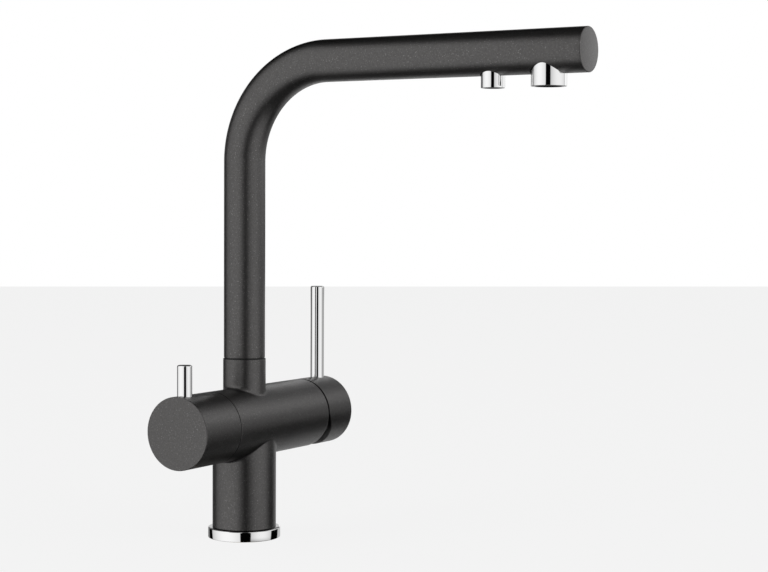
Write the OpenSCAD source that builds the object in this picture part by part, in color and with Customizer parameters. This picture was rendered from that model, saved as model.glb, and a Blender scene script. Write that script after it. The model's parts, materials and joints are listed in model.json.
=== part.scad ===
// Drinking water filter tap: a kitchen mixer with a swivelling L spout, a mixer lever on the
// right and a quarter-turn filtered water lever on the left.
// Origin: centre of the base ring's underside, on the worktop. +Z up, the spout points to -Y,
// the mixer handle is at +X and the filter knob at -X. All sizes in millimetres.

/* [Base] */
// Outer diameter of the chrome base ring
ring_d = 50; // [48:0.5:56]
// Height of the base ring
ring_h = 7; // [5:0.5:12]
// Edge round of the base ring
ring_round = 0.7; // [0.3:0.1:1.2]
// Hole in the worktop
deck_hole_d = 35; // [34.5:0.1:36.5]
// Worktop thickness that the fixing kit is drawn clamping
deck_t = 40; // [20:1:60]
// Outer diameter of the threaded shank
shank_d = 33; // [32:0.1:33.4]
// Bore of the shank, where the hoses pass
shank_bore_d = 27; // [26.4:0.1:28]
// Length of thread left below the fixing nut
shank_spare = 8; // [3:1:25]
// Outer diameter of the clamping washers
clamp_d = 52; // [44:1:60]
// Width across flats of the fixing nut
nut_flats = 41; // [39:0.5:48]

/* [Body] */
// Diameter of the lower column
column_d = 44; // [43:0.5:46]
// Wall of the lower column
column_wall = 3; // [2.5:0.1:3.2]
// Diameter of the cross body, its handle and its knob
cross_d = 49; // [48.6:0.2:54]
// Height of the cross body's axis above the worktop
cross_z = 79.5; // [78:0.5:85]
// Reach of the cross body to the left of the column axis
cross_left = 38.2; // [36:0.2:50]
// Reach of the cross body to the right of the column axis
cross_right = 71.5; // [66:0.5:90]
// Diameter of the neck under the spout
neck_d = 29.5; // [28.6:0.1:33]
// Height of the neck's top face
neck_top = 124.15; // [122:0.5:150]
// Draft of the neck, on the radius
neck_draft = 0.25; // [0:0.05:0.5]
// Blend between the neck and the cross body
neck_blend = 1.8; // [1.2:0.1:2.4]
// Blend between the column and the cross body
column_blend = 1.3; // [0.8:0.1:1.6]
// Edge round of the cross body's ends
rim_round = 0.5; // [0.2:0.1:0.8]

/* [Water inlets] */
// Tapping diameter of the three hose ports
port_d = 9; // [8:0.1:9.2]
// Depth of the hose ports
port_depth = 12; // [9:0.5:13]
// Distance of each port from the column axis
port_offset = 8.4; // [8.2:0.1:8.6]
// Height of the inlet block
block_h = 18; // [16:0.5:22]
// Bore of the waterways
waterway_d = 5; // [4:0.2:5.4]

/* [Mixer handle] */
// Length of the handle cap
handle_len = 30.4; // [28:0.2:40]
// Gap between the body and the handle cap
handle_gap = 1.1; // [0.9:0.1:1.6]
// Lever tilt from closed to full flow
flow_angle = 24; // [18:1:24]
// Wall of the handle cap and of the knob
cap_wall = 2.8; // [2:0.1:3.2]
// Thickness of the flat end of the handle cap and of the knob
cap_end = 3; // [2.5:0.1:3.6]
// Diameter of both lever rods
lever_d = 10; // [8:0.5:11]
// Edge round at the top of the lever rods
lever_round = 0.9; // [0.3:0.1:1.6]
// Distance of the mixer lever from the cap's flat end
mixer_lever_inset = 9.1; // [8:0.1:11]
// Height of the mixer lever's top above the cross axis
mixer_lever_rise = 91.4; // [60:1:120]

/* [Filter knob] */
// Length of the filter knob
knob_len = 38.95; // [37:0.5:46]
// Seam between the body and the filter knob
knob_gap = 0.35; // [0.3:0.05:0.6]
// Distance of the filter lever from the knob's flat end
filter_lever_inset = 8.5; // [7:0.1:10.5]
// Height of the filter lever's top above the cross axis
filter_lever_rise = 44.8; // [36:1:70]

/* [Mixing cartridge] */
// Diameter of the ceramic cartridge
cartridge_d = 35; // [34.6:0.1:35.2]
// Length of the cartridge casing up to its shoulder
cartridge_len = 25; // [25:0.1:25.6]
// Depth of the cartridge's shoulder below the body's right end
cartridge_depth = 13.5; // [13.2:0.1:14]
// Diameter of the lever stem
stem_d = 8; // [7:0.2:8.2]

/* [Filter valve] */
// Thread diameter of the quarter-turn valve
valve_d = 20; // [19:0.2:21]
// Diameter of the valve spindle
spindle_d = 9; // [8:0.2:9.4]

/* [Spout] */
// Outer diameter of the spout tube
tube_d = 28.5; // [28:0.1:29.4]
// Wall of the spout tube
tube_wall = 1.5; // [1:0.1:1.6]
// Height of the spout's horizontal axis above the worktop
spout_z = 327; // [280:1:380]
// Centreline radius of the spout bend
bend_r = 67; // [50:1:80]
// Reach of the spout from the column axis to its end face
spout_reach = 257.5; // [240:0.5:300]
// Height of the seam between the neck and the spout
seam_h = 0.7; // [0.5:0.1:1.2]
// Thickness of the spout's end cap
end_cap_t = 2; // [1.5:0.1:3]
// Free length of tube between the aerator's seat and the end plug
end_room = 7.4; // [2:0.2:20]
// Outer diameter of the aerator housing
aerator_d = 22.6; // [21:0.1:23]
// Free length of tube between the seats of the two outlets
outlet_room = 16.6; // [4:0.2:60]
// Outer diameter of the filtered water outlet
filter_outlet_d = 15.4; // [14:0.1:16]
// How far both outlets stand below the spout tube
outlet_drop = 7.75; // [5:0.25:12]
// Gap between an outlet and its hole in the tube
outlet_gap = 0.55; // [0.3:0.05:0.7]
// Distance from the filtered water outlet to the small dimple in the tube's underside
dimple_pitch = 41.2; // [20:0.2:60]
// Outer diameter of the inner filtered water tube
inner_tube_d = 8; // [7:0.1:8]
// Wall of the inner filtered water tube
inner_tube_wall = 1; // [0.8:0.1:1.2]

/* [Hidden] */

$fn = 96;

// Extra length of a cutting tool past the face that it opens
cut = 1;
// Radial play of a shaft that turns in its bore
running = 0.05;
// Radial play of a screwed or pushed-in piece
seat_play = 0.05;
// Play between two sealing discs
disc_play = 0.04;
// Clearance of a piece that hangs free in a cavity
free_play = 0.3;

// Base ring and fixing kit
ring_floor = 2;
ring_bore_d = shank_d + 2 * free_play;
seal_inner_d = deck_hole_d + 5;
seal_w = 3;
seal_h = 1.2;
bush_d = deck_hole_d - 0.5;
bush_drop = 5;
clamp_seal_t = 3;
clamp_washer_t = 2;
nut_h = 9;
washer_top = -deck_t - clamp_seal_t;
nut_top = washer_top - clamp_washer_t;
shank_head_h = 10;
shank_bottom = nut_top - nut_h - shank_spare;

// Column bore and inlet block
column_bore_d = column_d - 2 * column_wall;
block_top = cross_z - 21.5;
block_bottom = block_top - block_h;
port_angles = [-60, 60, 180];
cold = 0;
hot = 1;
filtered = 2;
screw_d = 4;
screw_head_d = 7;
screw_socket = 3.4;
port_seal_t = 1;
port_seal_d = waterway_d + 3.8;
port_seal_bore = waterway_d + 0.4;
port_seat_d = waterway_d + 4;

// Cartridge, measured along the cross body's axis from the body's right end
shoulder_x = cross_right - cartridge_depth;
chamber_x = shoulder_x - cartridge_len;
base_t = 3.2;
collar_d = 28;
collar_h = 8;
collar_bore_d = 22;
casing_wall = 2.8;
casing_roof = 3;
roof_x = shoulder_x - casing_roof;
carrier_end = shoulder_x + collar_h + 1;
carrier_flange_t = 3.2;
carrier_slot_h = 17;
pivot_x = shoulder_x + 4;
pin_d = 3;
stem_reach = 14;
ball_x = pivot_x - stem_reach;
stem_ball_d = 7;
stem_waist_d = 5;
stem_square = stem_d - 1.2;
square_x = pivot_x + 11;
disc_t = 4;
disc_x = chamber_x + base_t;
disc_port_d = 4;
slider_d = 17.6;
slider_boss_d = 13;
slider_x = disc_x + disc_t + disc_play;
socket_lip = 2.5;
nut_d = cartridge_d + 3.4;
nut_t = 9;
nut_slot_w = 4;
rim_d = cross_d - 2 * cap_wall - 0.4;
rim_depth = 2.5;

// Handle cap, filter knob and their levers
handle_x = cross_right + handle_gap;
handle_end = handle_x + handle_len;
mixer_lever_x = handle_end - mixer_lever_inset;
wedge_play = 0.75;
knob_x = -cross_left - knob_gap;
knob_end = knob_x - knob_len;
filter_lever_x = knob_end + filter_lever_inset;
boss_d = 18;
lever_tip_d = 6;
lever_seat = boss_d / 2 - 0.5;
stem_end = handle_end - cap_end - 2;
spindle_end = knob_end + cap_end + 2;
square_play = 0.1;
blind_play = 0.5;

// Quarter-turn valve, measured from the body's left end
valve_depth = 18.2;
valve_x = -cross_left + valve_depth;
valve_seal_t = 2.5;
valve_disc_t = 3;
valve_disc_d = valve_d - 4.2;
valve_hex = valve_d + 3;
valve_hex_t = 4;
valve_nose = 13;
valve_nose_d = valve_d - 5;
valve_chamber = valve_seal_t + 2 * valve_disc_t + 4;
window_x = valve_x - valve_chamber + 0.5;
window_len = 4;
window_w = 5;
valve_port_d = 4;
drive_x = valve_x - valve_seal_t - 2 * valve_disc_t;
drive_t = 2.4;
drive_d = spindle_d - 1;
nose_x = -cross_left - valve_hex_t - valve_nose;

// Neck bore, riser and spout spigot
slide_face = 3.25;
neck_bore_d = tube_d - 2 * slide_face;
mix_chamber_d = 14;
riser_d = 8;
riser_bore_d = 5;
riser_bottom = cross_z + 12;
riser_top = neck_top - 4;
riser_groove_d = riser_d - 2;
chamber_floor = riser_bottom + 2.5;
chamber_top = chamber_floor + 6;
spigot_bottom = chamber_top + 2;
spigot_groove_d = neck_bore_d - 3.1;
socket_d = riser_d + 3;
spigot_wall = 3.5;
spigot_bore_d = neck_bore_d - 2 * spigot_wall;
spigot_top = neck_top + 14;
tube_bottom = neck_top + seam_h;
clip_z = spigot_bottom + 2.5;
clip_t = 1.1;
clip_d = neck_bore_d + 1.4;
clip_slot = clip_t + 2 * seat_play;
clip_bore = neck_bore_d - 3;
clip_seat_d = neck_bore_d + 1.8;
clip_seat_w = 1.8;
riser_ring_t = 1;
spout_ring_t = 1.5;
groove_play = 0.15;
riser_seal_z = [riser_top - 7, riser_top - 3];
spout_seal_z = [clip_z + 5, clip_z + 11];

// Spout
bend_z = spout_z - bend_r;
bore_d = tube_d - 2 * tube_wall;
tube_end = spout_reach - end_cap_t;
plug_len = 5;
outlet_z = spout_z - tube_d / 2 - outlet_drop;
outlet_round = 0.25;
edge_break = 0.2;
elbow_r = inner_tube_d / 2 + 0.5;
seat_top = spout_z - elbow_r - 0.5;
seat_cover = 0.7;
aerator_seat_len = aerator_d + 3;
aerator_reach = tube_end - plug_len - end_room - aerator_seat_len / 2;
aerator_floor = hole_rim_z(aerator_d) + seat_cover;
aerator_grip = 5.2;
aerator_top = aerator_floor + aerator_grip;
aerator_shoulder = 1.5;
aerator_thread_d = aerator_d - 2 * aerator_shoulder;
aerator_wall = 1.2;
aerator_bore_d = aerator_thread_d - 2 * aerator_wall;
aerator_seal_t = 1.5;
insert_recess = 1.4;
insert_top = aerator_top - aerator_seal_t;
insert_bottom = outlet_z + insert_recess;
filter_seat_len = filter_outlet_d + 4;
filter_reach = aerator_reach - aerator_seat_len / 2 - outlet_room - filter_seat_len / 2;
filter_floor = hole_rim_z(filter_outlet_d) + seat_cover;
filter_shoulder = 2;
filter_thread_d = filter_outlet_d - 2 * filter_shoulder;
filter_bore_d = filter_thread_d;
filter_bore_h = 6;
dimple_reach = filter_reach - dimple_pitch;
dimple_d = 2.4;
dimple_depth = 0.7;

// Waterways in the casting and in the cartridge, as distances from the cross axis
feed_rise = 6;
mix_drop = 11;
outlet_rise = 9.7;
drill_d = waterway_d - 0.6;
outlet_drill_d = waterway_d - 1.6;
disc_feed = [4.4, 4.2];
disc_mix_drop = 0.4;
slot_depth = 1.6;
pocket_d = 8.6;
pocket_drop = 3.9;
pocket_depth = 2;

// A round bar along Z, from z0 to z1
module bar_z(d, z0, z1) {
    translate([0, 0, z0]) cylinder(d = d, h = z1 - z0);
}

// A round bar along X on the cross axis, from x0 to x1
module bar_x(d, x0, x1, y = 0, z = 0) {
    translate([x0, y, cross_z + z]) rotate([0, 90, 0]) cylinder(d = d, h = x1 - x0);
}

// A tube along Z
module tube_z(d, bore, z0, z1) {
    difference() {
        bar_z(d, z0, z1);
        bar_z(bore, z0 - cut, z1 + cut);
    }
}

// A tube along X on the cross axis
module tube_x(d, bore, x0, x1) {
    difference() {
        bar_x(d, x0, x1);
        bar_x(bore, x0 - cut, x1 + cut);
    }
}

// Half of a disc's section, with rounds at its lower and upper outer edges
module disc_section(d, h, low, high) {
    square([d / 2 - max(low, high), h]);
    translate([0, low]) square([d / 2, h - low - high]);
    translate([d / 2 - low, low]) circle(low);
    translate([0, 0]) square([d / 2 - low, low * 2]);
    translate([d / 2 - high, h - high]) circle(high);
    translate([0, h - high * 2]) square([d / 2 - high, high * 2]);
}

// A round bar along Z with rounded edges
module rounded_bar(d, h, low, high) {
    rotate_extrude() disc_section(d, h, low, high);
}

// A rounded bar along X on the cross axis, starting at x0
module rounded_bar_x(d, x0, h, low, high) {
    translate([x0, 0, cross_z]) rotate([0, 90, 0]) rounded_bar(d, h, low, high);
}

// Rubber ring of round section that lies in a groove of the given floor diameter
module o_ring(groove_d, section_d) {
    rotate_extrude() translate([(groove_d + section_d) / 2, 0]) circle(d = section_d);
}

// Groove for such a ring, round a bar along Z of diameter d
module ring_groove(d, groove_d, section_d, z) {
    half = section_d / 2 + groove_play;
    tube_z(d + cut, groove_d, z - half, z + half);
}

// Where a port's axis stands
function port_xy(i) = port_offset * [cos(port_angles[i]), sin(port_angles[i])];

// Children placed at every hose port
module at_ports() {
    for (i = [cold, hot, filtered]) translate(concat(port_xy(i), 0)) children();
}

// Chrome ring on the worktop, with a floor that the body stands on
module base_ring() {
    color("gainsboro") difference() {
        rounded_bar(ring_d, ring_h, ring_round / 2, ring_round);
        bar_z(column_d + 2 * seat_play, ring_floor, ring_h + cut);
        bar_z(ring_bore_d, -cut, ring_floor + cut);
        tube_z(seal_inner_d + 2 * seal_w, seal_inner_d, -cut, seal_h);
    }
}

// Rubber ring in the groove under the base ring
module base_seal() {
    color("black") tube_z(seal_inner_d + 2 * seal_w, seal_inner_d, 0, seal_h);
}

// Plastic bush that centres the shank in the worktop's hole, against the ring's underside
module centring_bush() {
    color("white") tube_z(bush_d, shank_d + 2 * seat_play, -bush_drop, 0);
}

// Threaded shank, screwed into the column from below
module threaded_shank() {
    color("goldenrod") difference() {
        union() {
            bar_z(shank_d, shank_bottom, ring_floor + cut);
            bar_z(column_bore_d - 2 * seat_play, ring_floor, ring_floor + shank_head_h);
        }
        bar_z(shank_bore_d, shank_bottom - cut, ring_floor + shank_head_h + cut);
    }
}

// Rubber washer under the worktop
module clamp_seal() {
    color("black") tube_z(clamp_d, shank_d + 2 * free_play, washer_top, -deck_t);
}

// Steel washer under the rubber washer
module clamp_washer() {
    color("silver") tube_z(clamp_d, shank_d + 2 * free_play, nut_top, washer_top);
}

// Hexagonal nut that clamps the tap to the worktop
module fixing_nut() {
    color("goldenrod") difference() {
        translate([0, 0, nut_top - nut_h]) cylinder(d = nut_flats / cos(30), h = nut_h, $fn = 6);
        bar_z(shank_d + 2 * seat_play, nut_top - nut_h - cut, nut_top + cut);
    }
}

// Rounded blend between an upright round post and the cross body's barrel, worked out as the
// path of a ball that rolls along both. side is 1 above the barrel and -1 below it
module blend_collar(post_r, ball_r, side) {
    turns = 72;
    steps = 5;
    sink = 0.08;
    r = post_r - sink;
    big = cross_d / 2 - sink;
    mid = r + ball_r;
    function centre(a) = [mid * cos(a), mid * sin(a),
                          sqrt(pow(big + ball_r, 2) - pow(mid * sin(a), 2))];
    function to_post(a) = [-cos(a), -sin(a), 0];
    function to_barrel(a) = let (c = centre(a)) [0, -c[1], -c[2]] / (big + ball_r);
    function arc(a, t) = let (p = to_post(a), q = to_barrel(a), w = acos(p * q))
        centre(a) + ball_r * (p * sin((1 - t) * w) + q * sin(t * w)) / sin(w);
    function inner(a, lift) = let (ri = r - 1, y = ri * sin(a))
        [ri * cos(a), y, lift ? centre(a)[2] : sqrt(pow(big - 1, 2) - y * y)];
    function foot(a) = let (c = centre(a), k = (big - 1) / (big + ball_r))
        [c[0], c[1] * k, c[2] * k];
    function section(a) = concat([inner(a, true)], [for (i = [0:steps]) arc(a, i / steps)],
                                 [foot(a), inner(a, false)]);
    rows = steps + 4;
    points = [for (i = [0:turns - 1], p = section(360 * i / turns)) [p[0], p[1], side * p[2]]];
    quads = [for (i = [0:turns - 1], j = [0:rows - 1])
        let (a = i * rows, b = ((i + 1) % turns) * rows, k = (j + 1) % rows)
        [a + j, a + k, b + k, b + j]];
    faces = [for (q = quads) for (f = [[q[0], q[1], q[2]], [q[0], q[2], q[3]]])
        side > 0 ? f : [f[2], f[1], f[0]]];
    translate([0, 0, cross_z]) polyhedron(points, faces);
}

// Outside of the body casting: column, cross body and neck with their blends
module body_outside() {
    bar_z(column_d, ring_floor, cross_z);
    rounded_bar_x(cross_d, -cross_left, cross_left + cross_right, rim_round / 2, rim_round);
    translate([0, 0, cross_z])
        cylinder(d1 = neck_d + 2 * neck_draft, d2 = neck_d, h = neck_top - cross_z);
    blend_collar(neck_d / 2, neck_blend, 1);
    blend_collar(column_d / 2, column_blend, -1);
}

// Upright and level bores that bring the water of port i to the height rise
module feed_bores(i, rise, x_end) {
    past = drill_d / 2 + 0.8;
    translate(concat(port_xy(i), 0)) bar_z(waterway_d, block_top - cut, cross_z + rise + past);
    bar_x(drill_d, min(port_xy(i)[0], x_end), max(port_xy(i)[0], x_end), port_xy(i)[1], rise);
}

// Mixed water: from the cartridge's lower port up to the chamber round the riser
module mix_bore() {
    reach = 3;
    start = [chamber_x - drill_d / 3, -mix_drop];
    end = [riser_bore_d, chamber_floor - cross_z + reach];
    run = end - start;
    bar_x(waterway_d, start[0] - drill_d / 2, chamber_x + cut, 0, -mix_drop);
    translate([start[0], 0, cross_z + start[1]]) rotate([0, atan2(run[0], run[1]), 0])
        cylinder(d = drill_d, h = norm(run));
}

// Filtered water: a recess round the valve's side windows, and a bore from it to the riser
module filter_bore() {
    depth = 2;
    side = 0.5;
    bar_x(valve_d + 2 * depth, window_x - side, window_x + window_len + side);
    bar_x(outlet_drill_d, window_x + 2 * side, 0, 0, outlet_rise);
    bar_z(riser_bore_d, cross_z + outlet_rise - riser_bore_d / 2, riser_bottom + cut);
}

// Lacquered brass casting
module mixer_body() {
    color("dimgray") difference() {
        body_outside();
        bar_z(column_bore_d, ring_floor - cut, block_top);
        bar_x(cartridge_d + 2 * seat_play, chamber_x, shoulder_x + cut);
        bar_x(nut_d + 2 * seat_play, shoulder_x, cross_right + cut);
        bar_x(rim_d, cross_right - rim_depth, cross_right + cut);
        bar_x(valve_d + 2 * seat_play, -cross_left - cut, valve_x);
        bar_z(neck_bore_d, chamber_top, neck_top + cut);
        bar_z(clip_seat_d, clip_z - clip_seat_w / 2, clip_z + clip_seat_w / 2);
        bar_z(mix_chamber_d, chamber_floor, spigot_bottom);
        bar_z(riser_d + 2 * seat_play, riser_bottom, spigot_bottom);
        feed_bores(cold, feed_rise, chamber_x + cut);
        feed_bores(hot, feed_rise, chamber_x + cut);
        feed_bores(filtered, 0, valve_x - cut);
        mix_bore();
        filter_bore();
    }
}

// Brass block in the column with the three threaded hose ports
module inlet_block() {
    color("goldenrod") difference() {
        bar_z(column_bore_d - 2 * seat_play, block_bottom, block_top);
        at_ports() {
            bar_z(port_d, block_bottom - cut, block_bottom + port_depth);
            bar_z(waterway_d, block_bottom, block_top + cut);
            bar_z(port_seat_d, block_top - port_seal_t, block_top + cut);
        }
        bar_z(screw_d, block_bottom - cut, block_top + cut);
    }
}

// Rubber rings between the inlet block and the body casting
module inlet_seals() {
    color("black") at_ports() tube_z(port_seal_d, port_seal_bore, block_top - port_seal_t, block_top);
}

// Cap screw that holds the inlet block
module block_screw() {
    head_z = block_bottom - screw_d;
    head_round = 0.4;
    color("silver") difference() {
        union() {
            bar_z(screw_d, block_bottom - cut, block_top);
            translate([0, 0, head_z]) rounded_bar(screw_head_d, screw_d, head_round, edge_break / 2);
        }
        translate([0, 0, head_z - cut]) cylinder(d = screw_socket, h = screw_d / 2 + cut, $fn = 6);
    }
}

// Where the base plate's three ports stand, as [y, z] from the cross axis
function base_ports() = [[port_xy(cold)[1], feed_rise], [port_xy(hot)[1], feed_rise],
                         [0, -mix_drop]];

// Where the fixed disc's three ports stand, closer to the cross axis
function disc_ports() = [[-disc_feed[0], disc_feed[1]], disc_feed, [0, -disc_mix_drop]];

// Bars along X through the given ports
module port_bars(ports, d, x0, x1) {
    for (p = ports) bar_x(d, x0, x1, p[0], p[1]);
}

// Plastic casing of the ceramic cartridge
module cartridge_casing() {
    casing_round = 0.6;
    color("white") difference() {
        union() {
            rounded_bar_x(cartridge_d, disc_x, cartridge_len - base_t, edge_break / 2, casing_round);
            bar_x(collar_d, shoulder_x - cut, shoulder_x + collar_h);
        }
        bar_x(cartridge_d - 2 * casing_wall, disc_x - cut, roof_x);
        bar_x(collar_bore_d + 2 * running, roof_x - cut, shoulder_x + collar_h + cut);
    }
}

// Groove in the base plate's upper face that joins its port i to the disc's port
module base_slot(i) {
    p = base_ports()[i];
    q = disc_ports()[i];
    low = disc_x - slot_depth;
    mid = (p + q) / 2;
    run = norm(q - p);
    slot_w = disc_port_d - 0.6;
    bar_x(disc_port_d, low, disc_x + cut, q[0], q[1]);
    translate([low, mid[0], cross_z + mid[1]]) rotate([atan2(q[1] - p[1], q[0] - p[0]), 0, 0])
        translate([0, -run / 2, -slot_w / 2]) cube([slot_depth + cut, run, slot_w]);
}

// Base plate of the cartridge with its three ports
module cartridge_base() {
    color("dimgray") difference() {
        bar_x(cartridge_d, chamber_x, disc_x);
        port_bars(base_ports(), waterway_d, chamber_x - cut, disc_x + cut);
        port_bars(base_ports(), port_seat_d, chamber_x - cut, chamber_x + port_seal_t);
        for (i = [0:len(base_ports()) - 1]) base_slot(i);
    }
}

// Rubber rings in the base plate
module cartridge_seals() {
    color("black") difference() {
        port_bars(base_ports(), port_seal_d, chamber_x, chamber_x + port_seal_t);
        port_bars(base_ports(), port_seal_bore, chamber_x - cut, chamber_x + port_seal_t + cut);
    }
}

// Fixed ceramic disc
module fixed_disc() {
    color("whitesmoke") difference() {
        bar_x(cartridge_d - 2 * casing_wall - 2 * seat_play, disc_x, disc_x + disc_t);
        port_bars(disc_ports(), disc_port_d, disc_x - cut, disc_x + disc_t + cut);
    }
}

// Sliding ceramic disc: a socket for the stem's ball, and a pocket that joins the ports when
// the disc has moved up
module moving_disc() {
    step = 1.8;
    ball_play = 0.2;
    color("whitesmoke") difference() {
        union() {
            bar_x(slider_d, slider_x, ball_x - step);
            bar_x(slider_boss_d, slider_x, ball_x + socket_lip);
        }
        bar_x(stem_ball_d + 2 * ball_play, ball_x - stem_ball_d / 2 - free_play,
              ball_x + socket_lip + cut);
        bar_x(pocket_d, slider_x - cut, slider_x + pocket_depth, 0, -pocket_drop);
    }
}

// A pin or its hole across the cartridge, at the stem's pivot
module cross_pin(d, len) {
    translate([pivot_x, 0, cross_z]) rotate([90, 0, 0]) cylinder(d = d, h = len, center = true);
}

// Turning carrier in the cartridge that holds the stem's pin
module stem_carrier() {
    flange_end = roof_x - free_play;
    slot_x = flange_end - 2 * carrier_flange_t;
    slot_w = stem_d + 2 * free_play;
    color("silver") difference() {
        union() {
            bar_x(cartridge_d - 2 * casing_wall - 2 * free_play, flange_end - carrier_flange_t,
                  flange_end);
            bar_x(collar_bore_d, flange_end - cut, carrier_end);
        }
        translate([slot_x, -slot_w / 2, cross_z - carrier_slot_h / 2])
            cube([carrier_end + cut - slot_x, slot_w, carrier_slot_h]);
        cross_pin(pin_d, collar_d);
    }
}

// Steel pin that the stem tilts on
module stem_pin() {
    inset = 1;
    color("silver") cross_pin(pin_d, collar_bore_d - 2 * inset);
}

// A bar of the stem's square section along X, from x0 to x1
module square_bar(w, x0, x1) {
    translate([x0, -w / 2, cross_z - w / 2]) cube([x1 - x0, w, w]);
}

// Lever stem: ball end in the sliding disc, eye on the pin, square end in the handle
module mixer_stem() {
    shaft_x = pivot_x - 2 * pin_d;
    color("silver") difference() {
        union() {
            translate([ball_x, 0, cross_z]) sphere(d = stem_ball_d);
            bar_x(stem_waist_d, ball_x, shaft_x + cut);
            bar_x(stem_d, shaft_x, square_x + cut);
            square_bar(stem_square, square_x, stem_end);
        }
        cross_pin(pin_d + 2 * running, 2 * stem_d);
    }
}

// Threaded ring that clamps the cartridge
module cartridge_nut() {
    color("goldenrod") difference() {
        tube_x(nut_d, collar_d + 2 * seat_play, shoulder_x, shoulder_x + nut_t);
        for (a = [0:60:300]) translate([shoulder_x + nut_t, 0, cross_z]) rotate([a, 0, 0])
            translate([0, 0, nut_d / 2]) cube(nut_slot_w, center = true);
    }
}

// Dark dished ring that hides the cartridge nut behind the handle
module cover_ring() {
    x0 = cross_right - rim_depth;
    outer = rim_d / 2 - seat_play;
    inner = 15;
    dish = 1.5;
    t = 1.5;
    color("black") translate([x0, 0, cross_z]) rotate([0, 90, 0]) rotate_extrude()
        polygon([[inner, dish], [outer - dish, 0], [outer, 0], [outer, t], [inner, dish + t]]);
}

// Cup along Z, open at the bottom, with a flat top and a central boss that starts at boss_from
module cap_cup(len, boss_from) {
    difference() {
        rounded_bar(cross_d, len, rim_round / 2, rim_round);
        translate([0, 0, -cut]) cylinder(d = cross_d - 2 * cap_wall, h = len - cap_end + cut);
    }
    translate([0, 0, boss_from]) cylinder(d = boss_d, h = len - cap_end / 2 - boss_from);
}

// Handle cap with the wedge cut that lets it tilt towards the body
module mixer_handle() {
    boss_from = 7.4;
    tall = 2 * cross_d;
    color("dimgray") difference() {
        translate([handle_x, 0, cross_z]) rotate([0, 90, 0]) cap_cup(handle_len, boss_from);
        // The cut face stands square to the body when the lever is fully tilted
        translate([pivot_x, 0, cross_z]) rotate([0, -flow_angle, 0])
            translate([wedge_x() - tall, -tall / 2, -tall]) cube([tall, tall, 2 * tall]);
        square_bar(stem_square + 2 * square_play, handle_x, stem_end + blind_play);
        translate([mixer_lever_x, 0, cross_z]) lever_hole();
    }
}

// Distance from the stem's pivot to the cut face of the handle cap
function wedge_x() = cross_right - pivot_x + wedge_play;

// Hole for a lever rod in a cap wall and for its threaded tip in the boss
module lever_hole() {
    translate([0, 0, lever_seat]) cylinder(d = lever_d + 2 * seat_play, h = cross_d);
    cylinder(d = lever_tip_d + 2 * seat_play, h = cross_d / 2);
}

// Chrome rod with a threaded tip that clamps the piece on the cross axis
module lever_rod(rise, tip_z) {
    color("gainsboro") union() {
        translate([0, 0, lever_seat])
            rounded_bar(lever_d, rise - lever_seat, edge_break, lever_round);
        translate([0, 0, tip_z]) cylinder(d = lever_tip_d, h = lever_seat - tip_z + cut);
    }
}

// Long lever of the mixer handle
module mixer_lever() {
    translate([mixer_lever_x, 0, cross_z]) lever_rod(mixer_lever_rise, stem_square / 2);
}

// Quarter-turn valve casing, screwed into the body's left end
module filter_valve() {
    hex_x = -cross_left - valve_hex_t;
    color("goldenrod") difference() {
        union() {
            bar_x(valve_d, -cross_left, valve_x - valve_seal_t);
            translate([hex_x, 0, cross_z]) rotate([0, 90, 0])
                cylinder(d = valve_hex / cos(30), h = valve_hex_t, $fn = 6);
            bar_x(valve_nose_d, nose_x, hex_x + cut);
        }
        bar_x(valve_disc_d + 2 * running, valve_x - valve_chamber, valve_x + cut);
        bar_x(spindle_d + 2 * running, nose_x - cut, valve_x);
        translate([window_x, -valve_d, cross_z - window_w / 2])
            cube([window_len, 2 * valve_d, window_w]);
    }
}

// Rubber seat ring between the valve and the casting
module valve_seal() {
    edge = 1;
    color("black") tube_x(valve_disc_d, waterway_d + 2 * edge, valve_x - valve_seal_t, valve_x);
}

// A disc of the valve with two ports. They lie on the upright line, or across it
module valve_disc(x0, t, across) {
    r = valve_disc_d / 4;
    difference() {
        bar_x(valve_disc_d, x0, x0 + t);
        for (side = [-r, r])
            bar_x(valve_port_d, x0 - cut, x0 + t + cut, across ? side : 0, across ? 0 : side);
    }
}

// Fixed ceramic disc of the filtered water valve
module filter_fixed_disc() {
    color("whitesmoke")
        valve_disc(valve_x - valve_seal_t - valve_disc_t + disc_play, valve_disc_t - disc_play, false);
}

// Turning ceramic disc of the filtered water valve, shut at rest
module filter_turning_disc() {
    color("whitesmoke") valve_disc(drive_x, valve_disc_t - disc_play, true);
}

// Valve spindle with its ported drive flange and its end in the knob
module filter_spindle() {
    color("goldenrod") {
        valve_disc(drive_x - drive_t, drive_t, true);
        bar_x(spindle_d, nose_x, drive_x - drive_t / 2);
        bar_x(drive_d, spindle_end, nose_x + cut);
    }
}

// Filter knob, a cup whose boss sits on the valve spindle
module filter_knob() {
    boss_from = knob_x - nose_x + 1;
    color("dimgray") difference() {
        translate([knob_x, 0, cross_z]) rotate([0, -90, 0]) cap_cup(knob_len, boss_from);
        bar_x(drive_d + 2 * seat_play, spindle_end - blind_play, knob_x);
        translate([filter_lever_x, 0, cross_z]) lever_hole();
    }
}

// Short lever of the filter knob
module filter_lever() {
    translate([filter_lever_x, 0, cross_z]) lever_rod(filter_lever_rise, drive_d / 2);
}

// Tube that carries the filtered water up through the swivel
module filter_riser() {
    color("goldenrod") difference() {
        tube_z(riser_d, riser_bore_d, riser_bottom, riser_top);
        for (z = riser_seal_z) ring_groove(riser_d, riser_groove_d, riser_ring_t, z);
    }
}

// Rubber rings round the top of the riser
module riser_seals() {
    color("black") for (z = riser_seal_z) translate([0, 0, z]) o_ring(riser_groove_d, riser_ring_t);
}

// Dark slide ring in the seam that the spout turns on
module slide_ring() {
    inset = 0.6;
    bore_play = 0.2;
    color("black")
        tube_z(tube_d - 2 * inset, neck_bore_d + 2 * bore_play, neck_top, tube_bottom - running);
}

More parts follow.
